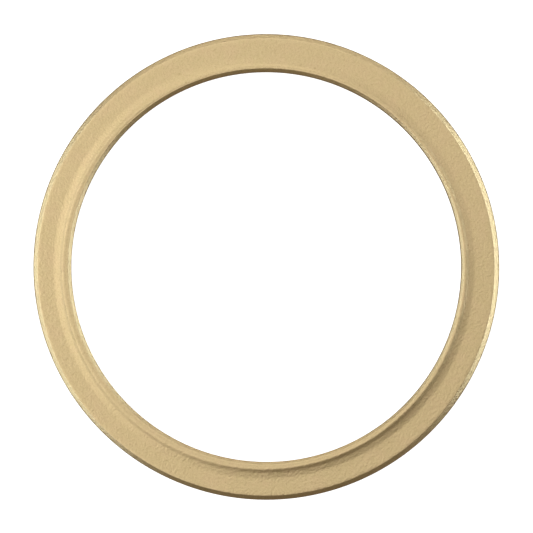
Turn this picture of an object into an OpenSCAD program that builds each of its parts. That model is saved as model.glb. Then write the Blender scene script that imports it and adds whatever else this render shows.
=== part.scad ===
// Flat washer: one turned brass ring with a low raised lip round its bore.
// The lip stands up from the flat upper face and falls back to it in a hollow curve.
// Every edge is broken by a 45 degree chamfer, and the underside is plain and flat.
// The frame is +Z up, with its origin on the bore's axis in the plane of the underside.

/* [Ring] */
// Diameter of the bore's straight wall
bore_d = 42; // [20:0.5:120]
// Radial width of the ring, from the bore's wall to the rim
ring_w = 4.1; // [3.8:0.1:20]
// Thickness from the underside to the flat upper face, without the lip
thickness = 2; // [1.6:0.1:8]

/* [Raised lip] */
// Height of the lip's crest above the flat upper face
lip_rise = 0.25; // [0.1:0.05:0.6]
// Radial width of the narrow flat land on the crest
crest_w = 0.3; // [0.1:0.05:0.5]
// Radial width of the hollow flank, from the crest's land down to the upper face
flank_w = 1.2; // [0.6:0.05:1.5]

/* [Chamfers] */
// Chamfer between the bore's wall and the lip's crest
bore_chamfer = 0.35; // [0.1:0.05:0.8]
// Chamfer between the upper face and the rim
rim_chamfer = 0.5; // [0.1:0.05:0.8]
// Chamfer on both edges of the underside
under_chamfer = 0.3; // [0.1:0.05:0.6]

/* [Hidden] */

circle_fn = 180;
flank_steps = 8;

bore_r = bore_d / 2;
rim_r = bore_r + ring_w;
crest_z = thickness + lip_rise;
crest_r = bore_r + bore_chamfer;
flank_r = crest_r + crest_w;
foot_r = flank_r + flank_w;

// The flank is an arc that passes through the land's outer edge and meets the upper face at a tangent.
flank_arc_r = (flank_w * flank_w + lip_rise * lip_rise) / (2 * lip_rise);
flank_arc_angle = asin(flank_w / flank_arc_r);

// A point on the flank's arc, at an angle from its foot.
function flank_point(angle) = [
    foot_r - flank_arc_r * sin(angle),
    thickness + flank_arc_r * (1 - cos(angle))
];

// The ring's section on one side of its axis, as [radius, height], anticlockwise from the bore's lower edge.
function ring_section() = [
    [bore_r + under_chamfer, 0],
    [rim_r - under_chamfer, 0],
    [rim_r, under_chamfer],
    [rim_r, thickness - rim_chamfer],
    [rim_r - rim_chamfer, thickness],
    for (i = [0 : flank_steps]) flank_point(flank_arc_angle * i / flank_steps),
    [crest_r, crest_z],
    [bore_r, crest_z - bore_chamfer],
    [bore_r, under_chamfer]
];

module washer() {
    color("darkkhaki")
    rotate_extrude($fn = circle_fn)
    polygon(ring_section());
}

washer();
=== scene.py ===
import math

import bpy
import numpy as np
from mathutils import Matrix, Vector, noise

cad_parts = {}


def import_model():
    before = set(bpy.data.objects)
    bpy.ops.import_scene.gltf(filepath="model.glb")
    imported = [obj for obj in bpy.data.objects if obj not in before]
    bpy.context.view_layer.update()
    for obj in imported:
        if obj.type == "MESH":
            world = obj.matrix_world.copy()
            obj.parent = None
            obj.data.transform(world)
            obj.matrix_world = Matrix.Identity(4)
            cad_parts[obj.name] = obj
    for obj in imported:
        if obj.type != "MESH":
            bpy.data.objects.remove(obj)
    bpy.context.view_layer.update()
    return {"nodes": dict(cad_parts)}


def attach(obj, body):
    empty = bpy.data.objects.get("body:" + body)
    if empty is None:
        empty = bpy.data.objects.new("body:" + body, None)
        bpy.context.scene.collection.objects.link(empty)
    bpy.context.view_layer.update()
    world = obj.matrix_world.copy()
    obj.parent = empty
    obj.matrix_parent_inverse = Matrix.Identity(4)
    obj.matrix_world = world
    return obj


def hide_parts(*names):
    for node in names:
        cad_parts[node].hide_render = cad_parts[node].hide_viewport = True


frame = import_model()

MM = 0.001
NODE = "washer"

# Two places on the section are taken as one corner within NEAR, and as level with each other within SAME.
NEAR = 0.01 * MM
SAME = 0.001 * MM

# How finely the ring is cut: steps round it, and the longest step along its section in each zone.
STEPS_ROUND = 840
LIP_STEP = 0.04 * MM
CHAMFER_STEP = 0.07 * MM
PLAIN_STEP = 0.3 * MM

# A corner of the section that turns by more than this is rounded, starting this far back from it.
SHARP_TURN = math.radians(20)
EDGE_ROUND = 0.05 * MM
RIM_ROUND = 0.13 * MM
ROUND_POINTS = 4

# The lip's section as three cuts, each a hump of slope: its steepest place in mm out from the CAD
# crest's outer edge, how far it spreads inwards and outwards from there, and its fall there in degrees.
LIP_CUTS = {
    "burr": (-0.13, 0.12, 0.09, -10),
    "fall": (0.18, 0.25, 0.55, 21),
    "foot": (0.75, 0.35, 0.50, 8),
}
LIP_REACH = (LIP_CUTS["foot"][0] + LIP_CUTS["foot"][2]) * MM
CREST_IN = 0.07 * MM

# The lip, the bore's bevel and the rim's chamfer were each cut in their own chucking, so they run off
# the bore's axis by a little.
LIP_RUNOUT = np.array((-0.235, -0.13)) * MM
BEVEL_RUNOUT = np.array((-0.045, 0.0)) * MM
CHAMFER_RUNOUT = np.array((-0.055, -0.06)) * MM

# Small dents in the bevel and the chamfer, and nicks in the crest's burr.
DENT_DEPTH = 0.014 * MM
DENT_SIZE = 0.5 * MM
DENT_SEED = Vector((3.7, 1.3, 8.1))
FINE_DENT_SHARE = 0.4
FINE_DENT_SCALE = 3.1
NICK_SIZE = 0.35 * MM
NICK_SHARE = 0.6
NICK_BIAS = 0.3

# How far the dents reach past the bevel and the chamfer on top, and down the walls below them.
BEVEL_MARGIN = 0.02 * MM
CHAMFER_MARGIN = 0.03 * MM
WALL_MARGIN = 0.05 * MM

# The share of a wall's height above which it stretches to meet a chamfer that has run out.
WALL_STRETCH = 0.2

# How far wear spreads from an edge.
EDGE_WIDTH = 0.07 * MM

# The brass: its colours, and the sizes of its grain, blotches, pits and turning lines in metres.
BRASS = (0.78, 0.62, 0.34)
BRASS_DULL = (0.75, 0.60, 0.32)
BRASS_ROSY = (0.81, 0.60, 0.36)
BRASS_LIGHT = (0.86, 0.69, 0.40)
BRASS_DARK = (0.55, 0.40, 0.20)
GRAIN_SIZE = 0.23 * MM
GRAIN_DEPTH = 0.035 * MM
SPECK_SIZE = 0.12 * MM
BLOTCH_SIZE = 3.0 * MM
HUE_SIZE = 1.6 * MM
PIT_SIZE = 1.5 * MM
PIT_RADIUS = 0.09
LINE_SIZE = 0.07 * MM
LINE_DEPTH = 0.006 * MM

# How many times more a step in height counts than one in radius, where the turning lines are spaced.
LINE_RISE = 1.7

# Roughness: its range over the grain, how far the blotches shift it, and how much an edge is polished.
ROUGHNESS = (0.39, 0.45)
BLOTCH_ROUGHNESS = 0.02
EDGE_POLISH = 0.08


def cad_section(mesh):
    """The corners of the CAD ring's section as (radius, height), in order round the section."""
    corners = []
    for v in mesh.vertices:
        point = np.array((math.hypot(v.co.x, v.co.y), v.co.z))
        if all(np.hypot(*(point - corner)) > NEAR for corner in corners):
            corners.append(point)
    corners = np.array(corners)
    middle = (corners.min(0) + corners.max(0)) / 2
    turn = np.arctan2(corners[:, 1] - middle[1], corners[:, 0] - middle[0])
    return corners[np.argsort(turn)]


class Zones:
    """The ring's driving radii and heights, read from the corners of its CAD section."""

    def __init__(self, corners):
        radius, height = corners[:, 0], corners[:, 1]
        self.bore, self.rim = radius.min(), radius.max()
        self.crest_height = height.max()
        crest = radius[height > self.crest_height - NEAR]
        self.crest_in, self.crest_out = crest.min(), crest.max()
        upper = corners[height > self.crest_height / 2]
        inner = upper[upper[:, 0] < self.rim - NEAR]
        self.face_edge, self.face_height = inner[np.argmax(inner[:, 0])]
        self.foot = inner[inner[:, 1] < self.face_height + SAME][:, 0]
        self.foot = self.foot[self.foot > self.crest_in].min()
        self.bore_top = upper[upper[:, 0] < self.bore + NEAR][:, 1].max()
        self.rim_top = upper[upper[:, 0] > self.rim - NEAR][:, 1].max()
        self.land_height = self.crest_height

    def lip_end(self):
        """The radius where the lip's foot has run out into the face."""
        return self.crest_out + LIP_REACH

    def step(self, point):
        """The longest step along the section at a point of it."""
        if point[1] < min(self.rim_top, self.bore_top):
            return PLAIN_STEP
        return CHAMFER_STEP if point[0] > self.face_edge or point[0] < self.crest_in else PLAIN_STEP


def lip_fall(out):
    """How steeply the lip falls, as a tangent, at distances out from the CAD crest's outer edge."""
    fall = np.zeros(len(out))
    for steepest, inwards, outwards, degrees in LIP_CUTS.values():
        away = out / MM - steepest
        share = np.clip(away / np.where(away < 0, inwards, outwards), -1, 1)
        fall += degrees * np.cos(share * math.pi / 2) ** 2
    return np.tan(np.radians(fall))


def lip_profile(zones):
    """The lip's section from the end of its foot to the bore's bevel. Sets the land's height."""
    land = zones.crest_in - zones.crest_out
    count = math.ceil((zones.lip_end() - zones.crest_in) / LIP_STEP)
    out = np.linspace(land, LIP_REACH, count + 1)
    fall = lip_fall(out)
    height = -np.concatenate(((0,), np.cumsum((fall[1:] + fall[:-1]) / 2 * np.diff(out))))
    scale = (zones.crest_height - zones.face_height) / (height.max() - height[-1])
    height = zones.face_height + (height - height[-1]) * scale
    zones.land_height = height[0]
    points = np.stack((zones.crest_out + out, height), 1)
    points[0, 0] -= zones.crest_height - zones.land_height
    return points[::-1]


def full_section(corners, zones):
    """The CAD section with the lip's drawn profile in place of its crest and flank."""
    lip = lip_profile(zones)
    on_lip = (corners[:, 1] > zones.bore_top + NEAR) & (corners[:, 0] < zones.foot + NEAR)
    on_lip &= corners[:, 1] >= zones.face_height - SAME
    kept = corners[~on_lip]
    start = np.argmin(np.hypot(kept[:, 0] - zones.face_edge, kept[:, 1] - zones.face_height))
    kept = np.roll(kept, -start - 1, 0)
    return np.concatenate((kept, lip))


def fine_section(corners, zones):
    """The section with its sharp corners drawn as small curves and its straights cut into short steps."""
    ends = []
    for i, corner in enumerate(corners):
        before, after = corners[i - 1] - corner, corners[(i + 1) % len(corners)] - corner
        back, ahead = np.hypot(*before), np.hypot(*after)
        turn = math.acos(max(-1, min(1, -np.dot(before, after) / (back * ahead))))
        if turn < SHARP_TURN:
            ends.append([corner])
            continue
        size = RIM_ROUND if math.dist(corner, (zones.rim, zones.rim_top)) < EDGE_ROUND else EDGE_ROUND
        start = corner + before / back * min(size, 0.45 * back)
        end = corner + after / ahead * min(size, 0.45 * ahead)
        ends.append(
            [
                (1 - t) ** 2 * start + 2 * t * (1 - t) * corner + t**2 * end
                for t in np.linspace(0, 1, ROUND_POINTS)
            ]
        )
    points = []
    for i, curve in enumerate(ends):
        points += curve
        start, end = curve[-1], ends[(i + 1) % len(ends)][0]
        steps = math.ceil(np.hypot(*(end - start)) / zones.step((start + end) / 2))
        points += [start + (end - start) * k / steps for k in range(1, steps)]
    return np.array(points)


def ring_points(section, zones):
    """The ring's vertices as an array of [section point, step round, xyz]."""
    angle = np.arange(STEPS_ROUND) * 2 * math.pi / STEPS_ROUND
    around = np.stack((np.cos(angle), np.sin(angle)), 1)
    radius, height = section[:, :1], section[:, 1:]
    upper = height > (zones.bore_top + zones.rim_top) / 4

    # The share of each cut's run-out that a section point moves out by, and the share it moves up by.
    bevel_top = zones.crest_in - zones.crest_height + zones.land_height
    crest = zones.crest_out - CREST_IN
    bevel = np.interp(radius, (zones.bore, bevel_top, crest), (0, 1, 0)) * upper
    bevel_up = -np.interp(radius, (zones.bore, bevel_top), (1, 0)) * (height > zones.bore_top - RIM_ROUND)
    lip = np.interp(radius, (bevel_top, crest, zones.lip_end(), zones.face_edge), (0, 1, 1, 0)) * upper
    chamfer = np.interp(radius, (zones.lip_end(), zones.face_edge, zones.rim), (0, 1, 0)) * upper
    chamfer_up = np.interp(radius, (zones.face_edge, zones.rim), (0, 1)) * upper
    # The rim's straight wall only stretches up to meet the chamfer.
    wall = np.interp(height, (WALL_STRETCH * zones.rim_top, zones.rim_top), (0, 1))
    chamfer_up = chamfer_up * np.where(radius > zones.rim - SAME, wall, 1)
    wall = np.interp(height, (WALL_STRETCH * zones.bore_top, zones.bore_top), (0, 1))
    bevel_up = np.where(radius < zones.bore + SAME, -wall, bevel_up)

    to_lip, to_bevel, to_chamfer = around @ LIP_RUNOUT, around @ BEVEL_RUNOUT, around @ CHAMFER_RUNOUT
    out = radius + lip * to_lip + bevel * to_bevel + chamfer * to_chamfer
    up = height + bevel_up * to_bevel + chamfer_up * to_chamfer

    # The burr is nicked, and it is lower where the lip's run-out leaves less land inside it.
    nick = [noise.noise(Vector((x, y, 0)) * zones.bore / NICK_SIZE + DENT_SEED) for x, y in around]
    land = (crest - bevel_top + to_lip - to_bevel) / (crest - bevel_top)
    left = np.clip(land, 0, 1) * (1 - NICK_SHARE * np.clip(np.array(nick) + NICK_BIAS, 0, 1))
    over = np.clip(height - zones.land_height, 0, None)
    up = up - over * (1 - left)
    return np.stack((out * around[:, 0], out * around[:, 1], up), 2)


def chamfer_share(section, zones):
    """How much of a chamfer each section point is on, from 0 to 1."""
    radius, height = section[:, 0], section[:, 1]
    bore = (radius < zones.crest_in + BEVEL_MARGIN) & (height > zones.bore_top - WALL_MARGIN)
    rim = (radius > zones.face_edge - CHAMFER_MARGIN) & (height > zones.rim_top - WALL_MARGIN)
    return (bore | rim).astype(float)


def dent(points, section, zones):
    """Sinks the small dents of the chamfers into the ring, towards the middle of its section."""
    middle = np.array(((zones.bore + zones.rim) / 2, zones.face_height / 2))
    for i in np.nonzero(chamfer_share(section, zones))[0]:
        towards = middle - section[i]
        towards = towards / np.hypot(*towards)
        for k in range(STEPS_ROUND):
            place = Vector(points[i, k]) / DENT_SIZE + DENT_SEED
            fine = FINE_DENT_SHARE * noise.noise(place * FINE_DENT_SCALE)
            depth = DENT_DEPTH * max(0.0, noise.noise(place) + fine)
            flat = points[i, k, :2] / np.hypot(*points[i, k, :2])
            points[i, k, :2] += flat * towards[0] * depth
            points[i, k, 2] += towards[1] * depth
    return points


def section_marks(section, zones):
    """How worn an edge each section point is on, and how plainly it shows the cutting tool, from 0 to 1."""
    radius, height = section[:, 0], section[:, 1]
    edge = np.zeros(len(section))
    crest = zones.crest_out - CREST_IN
    for r, z in (
        (crest, zones.crest_height),
        (zones.bore, zones.bore_top),
        (zones.crest_in, zones.land_height),
        (zones.face_edge, zones.face_height),
    ):
        edge = np.maximum(edge, 1 - np.hypot(radius - r, height - z) / EDGE_WIDTH)
    face = (radius > zones.lip_end()) & (radius < zones.face_edge) & (height > zones.face_height / 2)
    return edge, 1.0 - face


def ring_mesh():
    """The washer's mesh: one closed skin, swept round the axis."""
    corners = cad_section(frame["nodes"][NODE].data)
    zones = Zones(corners)
    section = fine_section(full_section(corners, zones), zones)
    points = dent(ring_points(section, zones), section, zones)
    rows, turns = points.shape[:2]
    index = np.arange(rows * turns).reshape(rows, turns)
    next_row, next_turn = np.roll(index, -1, 0), np.roll(index, -1, 1)
    both = np.roll(next_row, -1, 1)
    faces = np.stack((index, next_turn, both, next_row), 2).reshape(-1, 4)
    mesh = bpy.data.meshes.new("washer_ring")
    mesh.from_pydata(points.reshape(-1, 3), [], faces)
    mesh.shade_smooth()
    for name, values in zip(("edge", "cut"), section_marks(section, zones)):
        mark = mesh.attributes.new(name, "FLOAT", "POINT")
        mark.data.foreach_set("value", np.repeat(values, turns).astype(np.float32))
    mesh.update()
    return mesh, zones


def add_node(tree, kind, inputs, **settings):
    """A new shader node. An input takes a value, or a link where it is given another node's output."""
    made = tree.nodes.new(kind)
    for name, value in settings.items():
        setattr(made, name, value)
    for name, value in inputs.items():
        if isinstance(value, bpy.types.NodeSocket):
            tree.links.new(value, made.inputs[name])
        else:
            made.inputs[name].default_value = value
    return made


def brass_material():
    """Turned brass with the fine matt grain of light blasting."""
    material = bpy.data.materials.new("satin_brass")
    material.use_nodes = True
    tree = material.node_tree
    shader = tree.nodes["Principled BSDF"]
    shader.inputs["Metallic"].default_value = 1.0
    place = tree.nodes.new("ShaderNodeTexCoord").outputs["Object"]

    def noise_of(size, detail):
        """A noise from 0 to 1 with features of a size in metres."""
        made = add_node(tree, "ShaderNodeTexNoise", {"Vector": place, "Scale": 1 / size, "Detail": detail})
        return made.outputs["Fac"]

    def spread(value, low, high, start=0.3, end=0.7):
        """Carries a value from start..end to low..high, and no further."""
        made = add_node(
            tree,
            "ShaderNodeMapRange",
            {"Value": value, "From Min": start, "From Max": end, "To Min": low, "To Max": high},
        )
        return made.outputs["Result"]

    def math_node(operation, first, second):
        """A sum, difference or product of two values."""
        return add_node(tree, "ShaderNodeMath", {0: first, 1: second}, operation=operation).outputs["Value"]

    def blend(share, first, second):
        """A colour share of the way from the first to the second."""
        made = tree.nodes.new("ShaderNodeMix")
        made.data_type = "RGBA"
        tree.links.new(share, made.inputs["Factor"])
        for name, value in (("A", first), ("B", second)):
            socket = next(s for s in made.inputs if s.name == name and s.type == "RGBA")
            if isinstance(value, bpy.types.NodeSocket):
                tree.links.new(value, socket)
            else:
                socket.default_value = (*value, 1)
        return next(s for s in made.outputs if s.type == "RGBA")

    grain = noise_of(GRAIN_SIZE, 1)
    speck = noise_of(SPECK_SIZE, 0)
    blotch = noise_of(BLOTCH_SIZE, 2)
    hue = noise_of(HUE_SIZE, 4)
    edge = add_node(tree, "ShaderNodeAttribute", {}, attribute_name="edge").outputs["Fac"]
    cut = add_node(tree, "ShaderNodeAttribute", {}, attribute_name="cut").outputs["Fac"]

    # Scattered round pits, 1 inside a pit.
    cells = add_node(tree, "ShaderNodeTexVoronoi", {"Vector": place, "Scale": 1 / PIT_SIZE})
    pit = spread(cells.outputs["Distance"], 1, 0, 0.5 * PIT_RADIUS, PIT_RADIUS)

    # Fine turning lines, which run round the axis on every surface.
    split = add_node(tree, "ShaderNodeSeparateXYZ", {"Vector": place}).outputs
    flat = add_node(tree, "ShaderNodeCombineXYZ", {"X": split["X"], "Y": split["Y"]}).outputs["Vector"]
    radius = add_node(tree, "ShaderNodeVectorMath", {0: flat}, operation="LENGTH").outputs["Value"]
    along = math_node("ADD", radius, math_node("MULTIPLY", split["Z"], LINE_RISE))
    lines = add_node(
        tree,
        "ShaderNodeTexNoise",
        {"W": along, "Scale": 1 / LINE_SIZE, "Detail": 1},
        noise_dimensions="1D",
    ).outputs["Fac"]

    colour = blend(spread(blotch, 0, 1), BRASS_DULL, BRASS)
    colour = blend(spread(hue, 0, 0.5, 0.45, 0.75), colour, BRASS_ROSY)
    colour = blend(spread(grain, 0, 0.55, 0.35, 0.75), colour, BRASS_LIGHT)
    colour = blend(spread(speck, 0.3, 0, 0.2, 0.5), colour, BRASS_DARK)
    colour = blend(math_node("MULTIPLY", pit, 0.5), colour, BRASS_DARK)
    colour = blend(math_node("MULTIPLY", edge, spread(grain, 0.1, 0.9)), colour, BRASS_LIGHT)
    tree.links.new(colour, shader.inputs["Base Color"])

    shift = spread(blotch, -BLOTCH_ROUGHNESS, BLOTCH_ROUGHNESS)
    rough = math_node("ADD", spread(grain, *ROUGHNESS), shift)
    rough = math_node("SUBTRACT", rough, math_node("MULTIPLY", edge, EDGE_POLISH))
    tree.links.new(rough, shader.inputs["Roughness"])

    bump = add_node(tree, "ShaderNodeBump", {"Height": grain, "Distance": GRAIN_DEPTH})
    cut_lines = math_node("MULTIPLY", lines, spread(cut, 0.25, 1, 0, 1))
    bump = add_node(
        tree,
        "ShaderNodeBump",
        {"Height": cut_lines, "Distance": LINE_DEPTH, "Normal": bump.outputs["Normal"]},
    )
    tree.links.new(bump.outputs["Normal"], shader.inputs["Normal"])
    return material


# Soft panels round the washer, all at one distance and aimed at it: azimuth and elevation in degrees,
# width and height in mm, strength and tint. No panel stands in front.
PANEL_DISTANCE = 300 * MM
NEUTRAL = (1.0, 1.0, 1.0)
COOL = (0.9, 1.0, 1.1)
LIGHTS = {
    "right_low": (7, 9, 420, 130, 2.8, COOL),
    "left_low": (184, 9, 560, 130, 2.2, COOL),
    "back_low": (90, 9, 560, 130, 1.1, NEUTRAL),
    "back_high": (90, 35, 400, 130, 0.8, NEUTRAL),
    "right_high": (20, 50, 200, 160, 0.4, NEUTRAL),
    "left_high": (195, 55, 460, 160, 0.9, NEUTRAL),
    "overhead": (130, 76, 330, 330, 0.7, NEUTRAL),
}
SURROUND = (0.16, 0.13, 0.1)

# The camera: its lens and sensor in mm, and in mm its place and where on the face's plane it aims.
LENS = 498
SENSOR = 36
CAMERA_PLACE = (-13, -22, 795)
AIM = (-0.007, 0.002)

# The floor's half width in metres, and how far it lies under the washer.
FLOOR_REACH = 3.0
FLOOR_DROP = 0.02 * MM


def area_light(name, azimuth, elevation, width, height, strength, tint):
    """A soft panel aimed at the ring, equally bright over its whole face."""
    turn, rise = math.radians(azimuth), math.radians(elevation)
    towards = Vector((math.cos(rise) * math.cos(turn), math.cos(rise) * math.sin(turn), math.sin(rise)))
    data = bpy.data.lights.new(name, "AREA")
    data.shape = "RECTANGLE"
    data.size, data.size_y = width * MM, height * MM
    data.color = tint
    data.energy = strength * math.pi * data.size * data.size_y
    lamp = bpy.data.objects.new(name, data)
    lamp.location = towards * PANEL_DISTANCE
    lamp.rotation_euler = (-towards).to_track_quat("-Z", "Y").to_euler()
    lamp.visible_camera = False
    bpy.context.scene.collection.objects.link(lamp)


def camera(zones):
    """A long lens straight above the washer, a touch in front and to the left of its axis."""
    data = bpy.data.cameras.new("camera")
    data.lens = LENS
    data.sensor_width = SENSOR
    made = bpy.data.objects.new("camera", data)
    made.location = Vector(CAMERA_PLACE) * MM
    aim = Vector((*AIM, zones.face_height / MM)) * MM
    back = (made.location - aim).normalized()
    right = Vector((0, 1, 0)).cross(back).normalized()
    made.rotation_euler = Matrix((right, back.cross(right), back)).transposed().to_euler()
    bpy.context.scene.collection.objects.link(made)
    bpy.context.scene.camera = made


def floor():
    """A plain white table top that glows evenly, so that the washer throws no shadow on it."""
    mesh = bpy.data.meshes.new("floor")
    corners = [(x * FLOOR_REACH, y * FLOOR_REACH, 0) for x, y in ((-1, -1), (1, -1), (1, 1), (-1, 1))]
    mesh.from_pydata(corners, [], [(0, 1, 2, 3)])
    made = bpy.data.objects.new("floor", mesh)
    made.location.z = -FLOOR_DROP
    material = bpy.data.materials.new("white_table")
    material.use_nodes = True
    shader = material.node_tree.nodes["Principled BSDF"]
    shader.inputs["Base Color"].default_value = (0.85, 0.85, 0.85, 1)
    shader.inputs["Roughness"].default_value = 0.9
    shader.inputs["Emission Color"].default_value = (1, 1, 1, 1)
    shader.inputs["Emission Strength"].default_value = 1.0
    mesh.materials.append(material)
    made.visible_glossy = False
    made.visible_diffuse = False
    bpy.context.scene.collection.objects.link(made)


def world(radiance):
    """A dim warm surround, for what reflects none of the panels."""
    made = bpy.data.worlds.new("studio")
    made.use_nodes = True
    background = made.node_tree.nodes["Background"]
    background.inputs["Color"].default_value = (*radiance, 1)
    bpy.context.scene.world = made


mesh, zones = ring_mesh()
washer = bpy.data.objects.new("washer_body", mesh)
bpy.context.scene.collection.objects.link(washer)
mesh.materials.append(brass_material())
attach(washer, "root")
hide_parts(NODE)

for name, values in LIGHTS.items():
    area_light(name, *values)
camera(zones)
floor()
world(SURROUND)
bpy.context.scene.view_settings.view_transform = "Standard"
